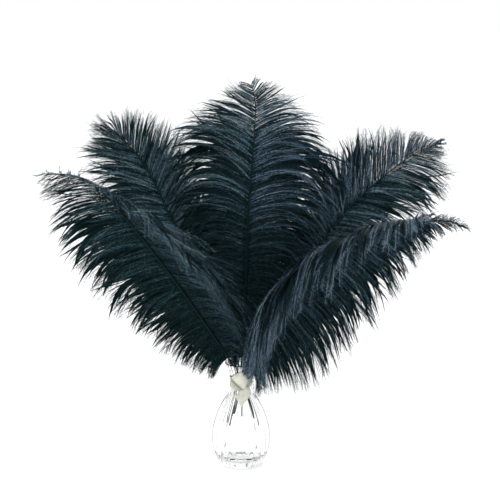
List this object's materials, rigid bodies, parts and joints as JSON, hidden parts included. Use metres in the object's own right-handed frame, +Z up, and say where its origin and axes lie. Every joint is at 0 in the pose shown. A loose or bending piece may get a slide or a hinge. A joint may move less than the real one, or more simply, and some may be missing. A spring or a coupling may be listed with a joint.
{
  "type": "ostrich feathers in a vase",
  "caption": "Dark ostrich plumes fanned out of a small ribbed clear glass vase, with a cream ribbon tied round its neck.",
  "frame": {"origin": "centre of the vase's flat foot, on the surface it stands on", "axes": "+Z up along the vase's axis, -Y towards the viewer, +X to the viewer's right"},
  "size_m": [0.466, 0.226, 0.4513],
  "materials": {
    "vase_glass": "gloss",
    "ribbon_satin": "satin",
    "plume": "matte"
  },
  "bodies": {
    "root": {"vase": "vase_glass", "ribbon": "ribbon_satin", "feather_center": "plume", "feather_back_left": "plume", "feather_back_right": "plume", "feather_front_left": "plume", "feather_front_right": "plume"}
  },
  "joints": []
}
